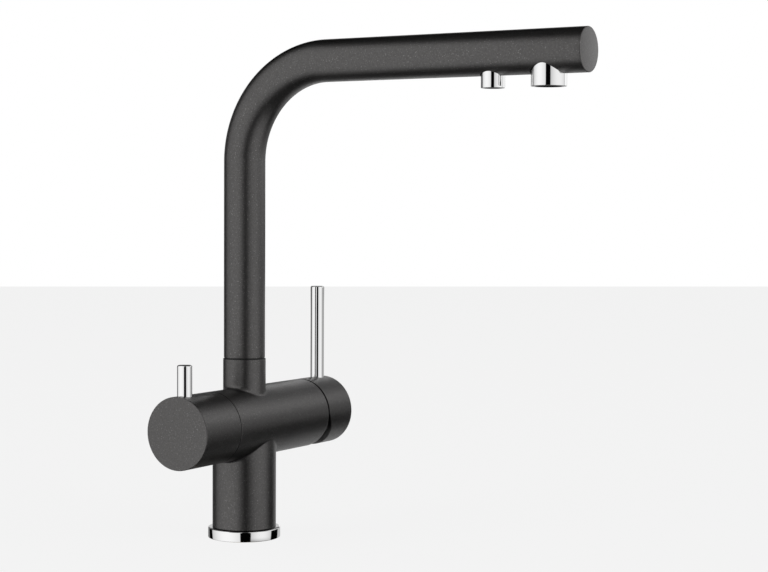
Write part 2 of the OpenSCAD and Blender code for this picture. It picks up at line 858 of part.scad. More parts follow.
// Brass spigot of the spout, which turns in the neck
module spout_spigot() {
    color("goldenrod") difference() {
        union() {
            bar_z(neck_bore_d - 2 * running, spigot_bottom, tube_bottom + cut);
            bar_z(bore_d - 2 * seat_play, tube_bottom, spigot_top);
        }
        bar_z(spigot_bore_d, spigot_bottom - cut, spigot_top + cut);
        for (z = spout_seal_z) ring_groove(neck_bore_d, spigot_groove_d, spout_ring_t, z);
        tube_z(neck_bore_d + cut, clip_bore, clip_z - clip_slot / 2, clip_z + clip_slot / 2);
    }
}

// Rubber rings round the spigot
module spout_seals() {
    color("black") for (z = spout_seal_z) translate([0, 0, z]) o_ring(spigot_groove_d, spout_ring_t);
}

// Open snap ring that keeps the spigot in the neck
module spout_clip() {
    color("silver") difference() {
        tube_z(clip_d, clip_bore, clip_z - clip_t / 2, clip_z + clip_t / 2);
        translate([0, 0, clip_z - cut]) cube([neck_bore_d, neck_bore_d, 2 * cut]);
    }
}

// Section of a pipe at distance r from the axis that it is bent about
module pipe_section(d, bore, r = 0) {
    translate([r, 0]) difference() {
        circle(d = d);
        circle(d = bore);
    }
}

// A pipe along the spout's centreline: up from z0, round the bend, and out to reach y1
module spout_pipe(d, bore, z0, y1) {
    translate([0, 0, z0]) linear_extrude(bend_z - z0) pipe_section(d, bore);
    translate([0, -bend_r, bend_z]) rotate([90, 0, 90])
        rotate_extrude(angle = 90) pipe_section(d, bore, bend_r);
    translate([0, -bend_r, spout_z]) rotate([90, 0, 0])
        linear_extrude(y1 - bend_r) pipe_section(d, bore);
}

// Height of the highest point of the rim of an outlet's hole in the tube, rounded up to 0.05
function hole_rim_z(d) = ceil(20 * (spout_z - sqrt(pow(tube_d / 2, 2) - pow(d / 2 + outlet_gap, 2)))) / 20;

// Bent spout tube with the holes for both outlets and a small dimple in its underside
module spout_tube() {
    color("dimgray") difference() {
        spout_pipe(tube_d, bore_d, tube_bottom, tube_end);
        translate([0, -aerator_reach, 0]) bar_z(aerator_d + 2 * outlet_gap, outlet_z, spout_z);
        translate([0, -filter_reach, 0]) bar_z(filter_outlet_d + 2 * outlet_gap, outlet_z, spout_z);
        translate([0, -dimple_reach, 0])
            bar_z(dimple_d, outlet_z, spout_z - tube_d / 2 + dimple_depth);
    }
}

// Plug that closes the spout's end
module spout_end_cap() {
    plug_wall = 2;
    color("dimgray") translate([0, -tube_end, spout_z]) rotate([90, 0, 0]) union() {
        rounded_bar(tube_d, end_cap_t, edge_break / 2, rim_round);
        translate([0, 0, -plug_len]) difference() {
            cylinder(d = bore_d - 2 * seat_play, h = plug_len + cut);
            translate([0, 0, -cut]) cylinder(d = bore_d - 2 * plug_wall, h = plug_len + cut);
        }
    }
}

// Inner tube from the riser to the filtered water outlet
module filter_tube() {
    bore = inner_tube_d - 2 * inner_tube_wall;
    socket_bottom = riser_top - 12;
    socket_top = riser_top + 2;
    elbow_z = spout_z - elbow_r;
    elbow_y = filter_reach - elbow_r;
    color("white") {
        difference() {
            bar_z(socket_d, socket_bottom, socket_top);
            bar_z(riser_d + 2 * running, socket_bottom - cut, riser_top + free_play);
            bar_z(bore, riser_top, socket_top + cut);
        }
        spout_pipe(inner_tube_d, bore, socket_top, elbow_y);
        translate([0, -elbow_y, elbow_z]) rotate([90, 0, -90])
            rotate_extrude(angle = 90) pipe_section(inner_tube_d, bore, elbow_r);
        translate([0, -filter_reach, seat_top + seat_play])
            linear_extrude(elbow_z - seat_top - seat_play) pipe_section(inner_tube_d, bore);
    }
}

// Block soldered in the tube's bore over an outlet's hole, with a threaded hole
module outlet_seat(reach, len, thread_d, z0, z1) {
    difference() {
        intersection() {
            translate([0, -reach + len / 2, spout_z]) rotate([90, 0, 0])
                cylinder(d = bore_d - 2 * seat_play, h = len);
            translate([-tube_d / 2, -reach - len / 2 - cut, z0])
                cube([tube_d, len + 2 * cut, z1 - z0]);
        }
        translate([0, -reach, 0]) bar_z(thread_d + 2 * seat_play, outlet_z, z1 + cut);
    }
}

// Seat for the aerator housing
module aerator_seat() {
    color("goldenrod")
        outlet_seat(aerator_reach, aerator_seat_len, aerator_thread_d, aerator_floor, aerator_top);
}

// Chrome housing of the aerator
module aerator_housing() {
    color("gainsboro") translate([0, -aerator_reach, 0]) difference() {
        union() {
            translate([0, 0, outlet_z])
                rounded_bar(aerator_d, aerator_floor - outlet_z, outlet_round, edge_break);
            bar_z(aerator_thread_d, aerator_floor - cut, insert_top);
        }
        bar_z(aerator_bore_d, outlet_z - cut, aerator_top);
    }
}

// Plastic flow shaper inside the aerator housing, with its round of nozzles
module aerator_insert() {
    insert_d = aerator_bore_d - 2 * seat_play;
    rim = 1.5;
    mouth = 5;
    nozzle_d = 1.6;
    nozzle_inset = 4;
    color("white") translate([0, -aerator_reach, 0]) difference() {
        bar_z(insert_d, insert_bottom, insert_top);
        bar_z(insert_d - 2 * rim, insert_bottom - cut, insert_bottom + mouth);
        for (a = [0:30:330]) rotate(a) translate([insert_d / 2 - nozzle_inset, 0, 0])
            bar_z(nozzle_d, insert_bottom, aerator_top);
    }
}

// Steel screen under the flow shaper
module aerator_screen() {
    pitch = 2.4;
    web = 0.7;
    rows = 2;
    screen_t = 0.5;
    screen_inset = 0.6;
    screen_d = aerator_bore_d - 2 * seat_play - 3;
    color("silver") translate([0, -aerator_reach, insert_bottom + screen_inset]) difference() {
        cylinder(d = screen_d, h = screen_t);
        for (i = [-rows:rows], j = [-rows:rows]) if (norm([i, j]) * pitch < screen_d / 2 - pitch)
            translate([i * pitch, j * pitch, -cut])
                cylinder(d = pitch - web, h = screen_t + 2 * cut, $fn = 24);
    }
}

// Rubber ring on top of the aerator
module aerator_seal() {
    w = 2.5;
    color("black") translate([0, -aerator_reach, 0])
        tube_z(aerator_thread_d, aerator_thread_d - 2 * w, insert_top, aerator_top);
}

// Seat for the filtered water outlet
module filter_seat() {
    color("goldenrod")
        outlet_seat(filter_reach, filter_seat_len, filter_thread_d, filter_floor, seat_top);
}

// Chrome filtered water outlet
module filter_outlet() {
    color("gainsboro") translate([0, -filter_reach, 0]) difference() {
        union() {
            translate([0, 0, outlet_z])
                rounded_bar(filter_outlet_d, filter_floor - outlet_z, outlet_round, edge_break);
            bar_z(filter_thread_d, filter_floor - cut, seat_top);
        }
        bar_z(filter_bore_d, outlet_z - cut, outlet_z + filter_bore_h);
        bar_z(inner_tube_d - 2 * inner_tube_wall, outlet_z, seat_top + cut);
    }
}

// Plastic flow straightener in the filtered water outlet
module filter_outlet_insert() {
    low = outlet_z + 1.2;
    top = outlet_z + filter_bore_h - seat_play;
    hole_d = 1.8;
    color("white") translate([0, -filter_reach, 0]) difference() {
        bar_z(filter_bore_d - 2 * seat_play, low, top);
        bar_z(hole_d, low - cut, top + cut);
        for (a = [0:60:300]) rotate(a) translate([filter_bore_d / 4, 0, 0])
            bar_z(hole_d, low - cut, top + cut);
    }
}

base_ring();
base_seal();
centring_bush();
mixer_body();
inlet_block();
inlet_seals();
block_screw();
threaded_shank();
clamp_seal();
clamp_washer();
fixing_nut();
cartridge_casing();
cartridge_base();
cartridge_seals();
fixed_disc();
moving_disc();
stem_carrier();
stem_pin();
mixer_stem();
cartridge_nut();
cover_ring();
mixer_handle();
mixer_lever();
filter_valve();
valve_seal();
filter_fixed_disc();
filter_turning_disc();
filter_spindle();
filter_knob();
filter_lever();
filter_riser();
riser_seals();
slide_ring();
spout_spigot();
spout_seals();
spout_clip();
spout_tube();
spout_end_cap();
filter_tube();
aerator_seat();
aerator_seal();
aerator_housing();
aerator_insert();
aerator_screen();
filter_seat();
filter_outlet();
filter_outlet_insert();
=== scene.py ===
import json
import math

import bmesh
import bpy
import numpy as np
from mathutils import Matrix, Vector


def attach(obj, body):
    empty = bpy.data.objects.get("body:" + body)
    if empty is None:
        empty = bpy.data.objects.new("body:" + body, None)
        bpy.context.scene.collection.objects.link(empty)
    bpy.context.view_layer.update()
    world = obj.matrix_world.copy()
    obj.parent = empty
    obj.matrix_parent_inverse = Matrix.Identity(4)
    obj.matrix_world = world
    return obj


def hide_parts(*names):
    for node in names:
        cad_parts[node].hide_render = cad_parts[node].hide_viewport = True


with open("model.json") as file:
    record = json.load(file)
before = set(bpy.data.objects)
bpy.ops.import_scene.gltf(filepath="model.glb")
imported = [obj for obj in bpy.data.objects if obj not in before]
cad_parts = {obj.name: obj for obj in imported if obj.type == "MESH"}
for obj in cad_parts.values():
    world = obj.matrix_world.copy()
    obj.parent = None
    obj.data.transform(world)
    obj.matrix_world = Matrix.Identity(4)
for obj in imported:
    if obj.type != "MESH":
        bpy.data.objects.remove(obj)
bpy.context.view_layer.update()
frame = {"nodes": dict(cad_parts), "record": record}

MM = 0.001
TAU = 2 * math.pi
# Points in one cell of this size, in millimetres, are welded; the shift keeps sizes off the borders
WELD, WELD_SHIFT = 1e-4, 0.37

# Base ring and fixing kit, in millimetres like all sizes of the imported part
RING_R, RING_H, RING_ROUND, RING_FLOOR = 25.0, 7.0, 0.7, 2.0
RING_BORE_R, RING_FOOT_ROUND, COLUMN_PLAY, EDGE = 16.8, 0.35, 0.05, 0.2
SHANK_R, SHANK_BORE_R, SHANK_BOTTOM, HEAD_R, HEAD_TOP = 16.5, 13.5, -62.0, 18.95, 12.0
NUT_FLAT_R, NUT_BORE_R, NUT_BOTTOM, NUT_TOP = 20.5, 16.55, -54.0, -45.0

# Body casting: column, cross body, neck, and their bores
COLUMN_R, COLUMN_BORE_R, BLOCK_TOP = 22.0, 19.0, 58.0
CROSS_R, CROSS_Z, CROSS_LEFT, CROSS_RIGHT, RIM_ROUND = 24.5, 79.5, -38.2, 71.5, 0.5
NECK_R, NECK_TOP, NECK_ROUND = 14.75, 124.15, 0.25
NECK_BORE_R, NECK_BORE_END, WATERWAY_R, WATERWAY_END = 11.0, 100.0, 7.0, 94.0
VALVE_BORE_R, VALVE_BORE_END = 10.05, -20.0
NUT_SEAT_R, NUT_SEAT_END = 21.5, 69.0
SHOULDER_R, SHOULDER_X, CHAMBER_R, CHAMBER_X = 19.25, 58.0, 17.55, 33.0

# Mixer handle, filter knob and their levers
HANDLE_GAP, HANDLE_LEN, KNOB_GAP, KNOB_LEN = 1.1, 30.4, 0.35, 38.95
HANDLE_X, KNOB_X = CROSS_RIGHT + HANDLE_GAP, CROSS_LEFT - KNOB_GAP
HANDLE_END, KNOB_END = HANDLE_X + HANDLE_LEN, KNOB_X - KNOB_LEN
PIVOT_X, FLOW_ANGLE, WEDGE_PLAY = 62.0, math.radians(24), 0.75
CAP_WALL, CAP_END, CAP_EDGE, BOSS_R, HANDLE_BOSS_X, KNOB_BOSS_X = 2.8, 3.0, 0.15, 9.0, 80.0, -56.2
LEVER_R, LEVER_ROUND, LEVER_SEAT, LEVER_HOLE_R, LEVER_TIP_R = 5.0, 0.9, 8.5, 5.05, 2.95
MIXER_LEVER_X, MIXER_LEVER_TIP, MIXER_LEVER_TOP = HANDLE_END - 9.1, CROSS_Z + 3.4, CROSS_Z + 91.4
FILTER_LEVER_X, FILTER_LEVER_TIP, FILTER_LEVER_TOP = KNOB_END + 8.5, CROSS_Z + 4.0, CROSS_Z + 44.8

# Spout and its two outlets
TUBE_R, TUBE_BORE_R, TUBE_BOTTOM, PLUG_T = 14.25, 12.75, 124.85, 2.0
SPOUT_Z, BEND_R, SPOUT_END = 327.0, 67.0, 257.5
OUTLET_Z, OUTLET_GAP, OUTLET_ROUND = 305.0, 0.55, 0.25
AERATOR_Y, AERATOR_R, AERATOR_BORE_R, AERATOR_SHOULDER = -230.3, 11.3, 8.6, 319.8
AERATOR_THREAD_R, AERATOR_THREAD_TOP = 9.8, 323.5
FILTER_Y, OUTLET_R, OUTLET_BORE_R, OUTLET_SHOULDER = -191.2, 7.7, 5.7, 316.1
OUTLET_THREAD_R, OUTLET_THREAD_TOP, OUTLET_WAY_R, OUTLET_WAY_BOTTOM = 5.7, 322.0, 3.0, 311.0
DIMPLE_Y, DIMPLE_R, DIMPLE_H = -150.0, 1.2, 0.7

# What the solids leave to this script: rounder blends, the shank's thread and the nut's chamfers
NECK_BLEND, COLUMN_BLEND = 2.8, 2.4
PITCH, THREAD_H, THREAD_FLAT, LEAD_IN, HEAD_CHAMFER = 1.5, 0.85, 0.12, 1.2, 0.3
NUT_CHAMFER, NUT_CHAMFER_ANGLE, NUT_CHAMFER_H = 0.2, math.pi / 6, 2.0

# Room that a surface's grid leaves free round a window: half its length, half its angle in radians
NECK_ROOM, COLUMN_ROOM, LEVER_ROOM, DIMPLE_ROOM = (20.5, 0.97), (28.0, 1.42), (7.0, 0.30), (4.0, 0.23)
FILTER_ROOM = (OUTLET_R + OUTLET_GAP + 3.6, 0.95)
AERATOR_ROOM = (AERATOR_R + OUTLET_GAP + 3.6, 1.36)


# Materials: a socket with the usual arithmetic, so that a pattern reads as a formula

def plug(tree, target, value):
    """Links another node's socket to this input, or writes a plain value into it."""
    if isinstance(value, Val):
        tree.links.new(value.socket, target)
    else:
        target.default_value = value


def add_node(tree, kind, settings=(), inputs=()):
    """A new node of this type: its settings first, then its inputs by name or by number."""
    node = tree.nodes.new(kind)
    for key, value in dict(settings).items():
        setattr(node, key, value)
    for key, value in dict(inputs).items():
        plug(tree, node.inputs[key], value)
    return node


class Val:
    """One output socket of a node tree, with + - * / and the usual functions."""

    def __init__(self, tree, socket):
        self.tree, self.socket = tree, socket

    def math(self, operation, *others):
        inputs = dict(enumerate((self,) + others))
        node = add_node(self.tree, "ShaderNodeMath", {"operation": operation}, inputs)
        return Val(self.tree, node.outputs[0])

    def __add__(self, other):
        return self.math("ADD", other)

    __radd__ = __add__

    def __sub__(self, other):
        return self.math("SUBTRACT", other)

    def __rsub__(self, other):
        return self.math("MULTIPLY", -1.0) + other

    def __mul__(self, other):
        return self.math("MULTIPLY", other)

    __rmul__ = __mul__

    def __truediv__(self, other):
        return self.math("DIVIDE", other)

    def step(self, low, high):
        """0 at low and before it, 1 at high and past it, smooth between."""
        node = add_node(self.tree, "ShaderNodeMapRange", {"interpolation_type": "SMOOTHSTEP"},
                        {"Value": self, "From Min": low, "From Max": high})
        return Val(self.tree, node.outputs[0])

    def between(self, low, high, soft):
        """1 between low and high, 0 outside, each edge soft by so much to either side."""
        return self.step(low - soft, low + soft) * self.step(high + soft, high - soft)

    def mix(self, a, b):
        """Colour a where this value is 0, colour b where it is 1. A Mix node has its colours at the
        inputs 6 and 7 and at the output 2."""
        a, b = (color if isinstance(color, Val) else (*color, 1.0) for color in (a, b))
        node = add_node(self.tree, "ShaderNodeMix", {"data_type": "RGBA"}, {0: self, 6: a, 7: b})
        return Val(self.tree, node.outputs[2])


def largest(first, *others):
    """The largest of several values."""
    for other in others:
        first = first.math("MAXIMUM", other)
    return first


def distance(first, *others):
    """The root of the sum of the values' squares."""
    total = first * first
    for other in others:
        total = total + other * other
    return total.math("SQRT")


class Look:
    """A material under construction around one Principled shader."""

    def __init__(self, name, color, roughness, metallic=0.0):
        self.material = bpy.data.materials.new(name)
        self.material.use_nodes = True
        self.tree = self.material.node_tree
        self.shader = next(n for n in self.tree.nodes if n.type == "BSDF_PRINCIPLED")
        self.set("Base Color", (*color, 1.0))
        self.set("Roughness", roughness)
        self.set("Metallic", metallic)

    def set(self, name, value):
        """Sets or links an input of the Principled shader."""
        plug(self.tree, self.shader.inputs[name], value)

    def node(self, kind, output=0, **inputs):
        """Any other node; inputs are set by their names, with _ for a space."""
        inputs = {key.replace("_", " "): value for key, value in inputs.items()}
        return Val(self.tree, add_node(self.tree, kind, inputs=inputs).outputs[output])

    def where(self):
        """Object coordinates, which here are the frame of the part, in metres."""
        return self.node("ShaderNodeTexCoord", "Object")

    def xyz(self):
        """The three Object coordinates as single values, in metres."""
        split = add_node(self.tree, "ShaderNodeSeparateXYZ", inputs={0: self.where()})
        return [Val(self.tree, socket) for socket in split.outputs]

    def noise(self, scale, detail):
        """A cloudy noise of so many cells to the metre."""
        return self.node("ShaderNodeTexNoise", Vector=self.where(), Scale=scale, Detail=detail,
                         Roughness=0.5)

    def surface(self, shader):
        """Puts another shader in the Principled one's place."""
        out = next(n for n in self.tree.nodes if n.type == "OUTPUT_MATERIAL")
        plug(self.tree, out.inputs["Surface"], shader)


def make_lacquer():
    """Dark lacquer full of fine metal flakes: most of its light is a broad, soft mirror image.
    Lighter flakes are the peaks of a fine noise, and a coarser noise mottles the tone. Hardly any light is
    left inside the narrow seams between pieces and where the column enters its ring, so the base colour is
    painted near black there as painted shade, and it is painted dark as painted shade on the faces inside
    the handle's wedge."""
    painted_shade_black, wedge_shade_dark, flake_tone = (0.004,) * 3, (0.04,) * 3, (0.20, 0.197, 0.195)
    mottle_low, mottle_high, wedge_end = (0.094, 0.0915, 0.0905), (0.110, 0.107, 0.106), 83.0
    look = Look("dark_lacquer", (0.10, 0.098, 0.097), 0.40, 0.98)
    flakes = look.noise(1300.0, 1.0).step(0.64, 0.74)
    mottle = look.noise(800.0, 2.0).step(0.3, 0.7)
    tone = flakes.mix(mottle.mix(mottle_low, mottle_high), flake_tone)
    x, y, z = (value / MM for value in look.xyz())
    # Painted shade: the base colour turns near black in the seams beside knob, handle and neck, and in a
    # band where the column enters its ring.
    gaps = ((x, KNOB_X, CROSS_LEFT), (x, CROSS_RIGHT, HANDLE_X), (z, NECK_TOP, TUBE_BOTTOM),
            (z, RING_H - 0.5, RING_H + 0.4))
    seam_shade = largest(*(value.between(low - 0.2, high + 0.2, 0.1) for value, low, high in gaps))
    # Painted shade: the faces inside the handle's wedge get a dark base colour.
    inside = distance(y, z - CROSS_Z).step(CROSS_R - 0.2, CROSS_R - 0.6)
    wedge = inside * x.step(CROSS_RIGHT - 0.3, CROSS_RIGHT - 0.1) * x.step(wedge_end + 1, wedge_end - 1)
    look.set("Base Color", seam_shade.mix(wedge.mix(tone, wedge_shade_dark), painted_shade_black))
    look.set("Roughness", look.noise(600.0, 2.0) * 0.06 + 0.29)
    look.set("Normal", look.node("ShaderNodeBump", Height=look.noise(2600.0, 1.0), Strength=0.30,
                                 Distance=0.0003))
    return look.material


def make_outlet_chrome():
    """Chrome whose base colour is painted near black inside the bores of both outlets: painted shade,
    since hardly any light is left there.
    """
    look = Look("outlet_chrome", CHROME_COLOR, CHROME_ROUGHNESS, 1.0)
    x, y, _ = (value / MM for value in look.xyz())
    bores = ((AERATOR_Y, AERATOR_BORE_R), (FILTER_Y, OUTLET_BORE_R))
    # Painted shade: the base colour turns near black inside each outlet's bore.
    bore = largest(*(distance(x, y - axis).step(r + 0.35, r + 0.1) for axis, r in bores))
    look.set("Base Color", bore.mix(CHROME_COLOR, (0.01,) * 3))
    return look.material


CHROME_COLOR, CHROME_ROUGHNESS = (0.88, 0.88, 0.88), 0.04
LACQUER = make_lacquer()
CHROME = Look("chrome", CHROME_COLOR, CHROME_ROUGHNESS, 1.0).material
OUTLET_CHROME = make_outlet_chrome()
BRASS = Look("turned_brass", (0.72, 0.53, 0.25), 0.28, 1.0).material
STEEL = Look("steel", (0.60, 0.60, 0.61), 0.30, 1.0).material
RUBBER = Look("black_rubber", (0.012, 0.012, 0.012), 0.62).material
BLACK = Look("black_plastic", (0.008, 0.008, 0.008), 0.5).material
WHITE = Look("white_plastic", (0.74, 0.74, 0.72), 0.38).material
CERAMIC = Look("ceramic", (0.80, 0.79, 0.76), 0.12).material
SLOT_LOOK = {"anthracite_lacquer": LACQUER, "chrome": CHROME, "brass": BRASS, "steel": STEEL,
             "rubber": RUBBER, "white_plastic": WHITE, "black_plastic": BLACK, "ceramic": CERAMIC}


# Surfaces: grids of points worked out whole, then joined where their edges meet

class Skin:
    """Points and quads of one closed surface, gathered from grids and welded at the end."""

    def __init__(self):
        self.points, self.quads, self.count = [], [], 0

    def grid(self, p, closed_u=False, flip=False, keep=None):
        """A grid of points p[u, v, xyz]. Quads join neighbours, and the last u to the first if
        closed. A mask keep[u, v] says which of the quads there are."""
        nu, nv = p.shape[:2]
        index = np.arange(nu * nv).reshape(nu, nv) + self.count
        rows = np.concatenate([index, index[:1]]) if closed_u else index
        q = np.stack([rows[:-1, :-1], rows[1:, :-1], rows[1:, 1:], rows[:-1, 1:]], -1)
        q = q.reshape(-1, 4) if keep is None else q[keep]
        self.points.append(p.reshape(-1, 3))
        self.quads.append(q[:, ::-1] if flip else q)
        self.count += nu * nv

    def make(self, name, material, body, slot, nodes, sharp=32.0):
        """The finished piece: points that coincide become one, and quads that lose a side so are
        triangles. The faces are turned outwards."""
        points = np.concatenate(self.points)
        quads = np.concatenate(self.quads)
        key = np.floor(points / WELD + WELD_SHIFT).astype(np.int64)
        _, first, back = np.unique(key, axis=0, return_index=True, return_inverse=True)
        quads = back.reshape(-1)[quads]
        same = [quads[:, i] == quads[:, (i + 1) % 4] for i in range(4)]
        faces = quads[~np.any(same, axis=0)].tolist()
        for i in range(4):
            only = same[i] & (np.sum(same, axis=0) == 1)
            corners = [j for j in range(4) if j != (i + 1) % 4]
            faces += quads[only][:, corners].tolist()
        mesh = bpy.data.meshes.new(name)
        mesh.from_pydata((points[first] * MM).tolist(), [], faces)
        whole = bmesh.new()
        whole.from_mesh(mesh)
        bmesh.ops.recalc_face_normals(whole, faces=whole.faces)
        if whole.calc_volume(signed=True) < 0:
            bmesh.ops.reverse_faces(whole, faces=whole.faces)
        torn = sum(1 for edge in whole.edges if not edge.is_manifold)
        if torn:
            print("open edges in", name, torn)
        whole.to_mesh(mesh)
        whole.free()
        mesh.shade_smooth()
        mesh.set_sharp_from_angle(angle=math.radians(sharp))
        mesh.materials.append(material)
        obj = bpy.data.objects.new(name, mesh)
        bpy.context.scene.collection.objects.link(obj)
        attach(obj, body)
        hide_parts(*nodes)


def arc(cx, cy, r, a0, a1, n=6):
    """Points on an arc, angles in degrees, the first and last included."""
    a = np.radians(np.linspace(a0, a1, n))
    return np.stack([cx + r * np.cos(a), cy + r * np.sin(a)], 1)


def joined(*parts):
    """One row of points from arcs and single points."""
    return np.concatenate([np.atleast_2d(np.array(part, float)) for part in parts])


def full_turn(n):
    """n angles round a full turn, as a column."""
    return np.linspace(0, TAU, n, endpoint=False)[:, None]


def stations(*stops):
    """Places along a line: from each stop (place, steps) so many equal steps lead to the next."""
    parts = [np.linspace(a, b, steps + 1)[:-1] for (a, steps), (b, _) in zip(stops, stops[1:])]
    return np.append(np.concatenate(parts), stops[-1][0])


def upright(r, t, z, x=0.0, y=0.0):
    """Points round an upright axis at x, y: at radius r, turn t and height z."""
    return np.stack(np.broadcast_arrays(x + r * np.cos(t), y + r * np.sin(t), z), -1)


def round_cross(r, t, x):
    """Points round the cross body's axis: at radius r and x, the angle t runs from +Z to +Y."""
    return np.stack(np.broadcast_arrays(x, r * np.sin(t), CROSS_Z + r * np.cos(t)), -1)


def round_hole(s0, hole_r, r):
    """Edge of a straight round hole in a tube of radius r: its (s, t) in direction a."""
    return lambda a: (s0 + hole_r * np.cos(a), np.arcsin(hole_r * np.sin(a) / r))


def turned_piece(name, profile, material, body, slot, node, x=0.0, y=0.0, n=160):
    """A turned piece: the profile's (radius, height) pairs, swept round the upright axis at x, y."""
    skin = Skin()
    skin.grid(upright(profile[None, :, 0], full_turn(n), profile[None, :, 1], x, y), closed_u=True)
    skin.make(name, material, body, slot, [node])


class Barrel:
    """A round tube wall along a line, as a grid of (station, angle) points with round windows.

    place(s, t) gives the point at station s and angle t. Round a window the grid leaves a
    rectangle free, and a band of quads leads from the hole's edge to the rectangle's.
    """

    def __init__(self, place, scale, places, n):
        self.place, self.scale, self.stations, self.n = place, scale, places, n
        self.keep = np.ones((len(places) - 1, n), bool)
        self.bands = []

    def window(self, s0, t0, room, curve, rows=7):
        """Opens the rectangle round (s0, t0); curve(a) gives the hole's (s, t) in direction a.
        Returns the directions of the rectangle's edge points, and the hole's points there."""
        half_s, half_t = room
        i0 = int(np.searchsorted(self.stations, s0 - half_s))
        i1 = int(np.searchsorted(self.stations, s0 + half_s)) - 1
        step = TAU / self.n
        c, k = int(round(t0 / step)), int(round(half_t / step))
        i, j = np.arange(i0, i1), np.arange(c - k, c + k)
        self.keep[i0:i1, j % self.n] = False
        ring = np.concatenate([np.stack([i, i * 0 + c - k], 1), np.stack([j * 0 + i1, j], 1),
                               np.stack([i[::-1] + 1, i * 0 + c + k], 1),
                               np.stack([j * 0 + i0, j[::-1] + 1], 1)])
        edge = np.stack([self.stations[ring[:, 0]], ring[:, 1] * step], 1)
        a = np.arctan2((edge[:, 1] - t0) * self.scale, edge[:, 0] - s0)
        hole = np.stack(curve(a), 1)
        # Rows of the band lie closer together near the hole
        t = np.linspace(0, 1, rows)[None, :, None]
        t = t * (0.45 + 0.55 * t)
        self.bands.append(hole[:, None] * (1 - t) + edge[:, None] * t)
        return a, self.place(hole[:, 0], hole[:, 1])

    def add_to(self, skin, flip=False):
        """Adds the wall and the bands round its windows to a skin."""
        s, t = np.meshgrid(self.stations, np.append(full_turn(self.n), TAU), indexing="ij")
        skin.grid(self.place(s, t % TAU), flip=flip, keep=self.keep)
        for band in self.bands:
            skin.grid(self.place(band[..., 0], band[..., 1]), closed_u=True, flip=flip)


class Junction:
    """Blend where an upright post meets the cross body: a ball rolls along both. Its centre stands
    a ball's radius off either, and the arc between the two touching points is the blend. It is
    worked out above the cross axis and mirrored for side -1, the column below."""

    def __init__(self, side, post_r, ball):
        self.side, self.ball = side, ball
        self.off_post, self.off_cross = post_r + ball, CROSS_R + ball

    def centre(self, b):
        """The ball's centre at turn b round the post, its height taken from the cross axis."""
        x, y = self.off_post * np.cos(b), self.off_post * np.sin(b)
        return np.stack([x, y, np.sqrt(self.off_cross ** 2 - y ** 2)], -1)

    def foot(self, b):
        """Where the ball touches the cross body: x, and the angle from the post's side."""
        c = self.centre(b)
        return c[:, 0], np.arcsin(c[:, 1] / self.off_cross)

    def post_turn(self, a):
        """Solves for the turn round the post whose foot lies in the window's direction a."""
        a = np.arctan2(self.side * np.sin(a), np.cos(a))
        b = a
        for _ in range(12):
            x, t = self.foot(b)
            b = b + np.angle(np.exp(1j * (a - np.arctan2(t * CROSS_R, x))))
        return b

    def curve(self, a):
        """Edge of the window in the cross body: its (x, t) in direction a."""
        x, t = self.foot(self.post_turn(a))
        return x, t if self.side > 0 else math.pi - t

    def blend(self, b):
        """Arcs on the ball, from the cross body to the post, at the turns b round the post."""
        c = self.centre(b)
        to_post = np.stack([-np.cos(b), -np.sin(b), 0 * b], -1)
        to_cross = np.stack([0 * b, -c[:, 1] / self.off_cross, -c[:, 2] / self.off_cross], -1)
        w = np.arccos(np.clip((to_post * to_cross).sum(1), -1, 1))[:, None, None]
        t = np.linspace(0, 1, 9)[None, :, None]
        points = c[:, None] + self.ball * (np.sin((1 - t) * w) * to_cross[:, None]
                                           + np.sin(t * w) * to_post[:, None]) / np.sin(w)
        points[..., 2] = CROSS_Z + self.side * points[..., 2]
        return points


def add_post(skin, barrel, junction, room, ends):
    """Neck or column: its window in the cross body, the blend, the wall, and then the ends, which
    are the (radius, height) pairs from the wall's far end on through the bore."""
    middle = 0.0 if junction.side > 0 else math.pi
    a, _ = barrel.window(0.0, middle, room, junction.curve)
    b = junction.post_turn(a)
    blend = junction.blend(b)
    far = upright(ends[None, :, 0], b[:, None], ends[None, :, 1])
    t = np.linspace(0, 1, 14)[None, :, None]
    wall = blend[:, -1:] * (1 - t) + far[:, :1] * t
    for points in (blend, wall, far):
        skin.grid(points, closed_u=True, flip=junction.side > 0)


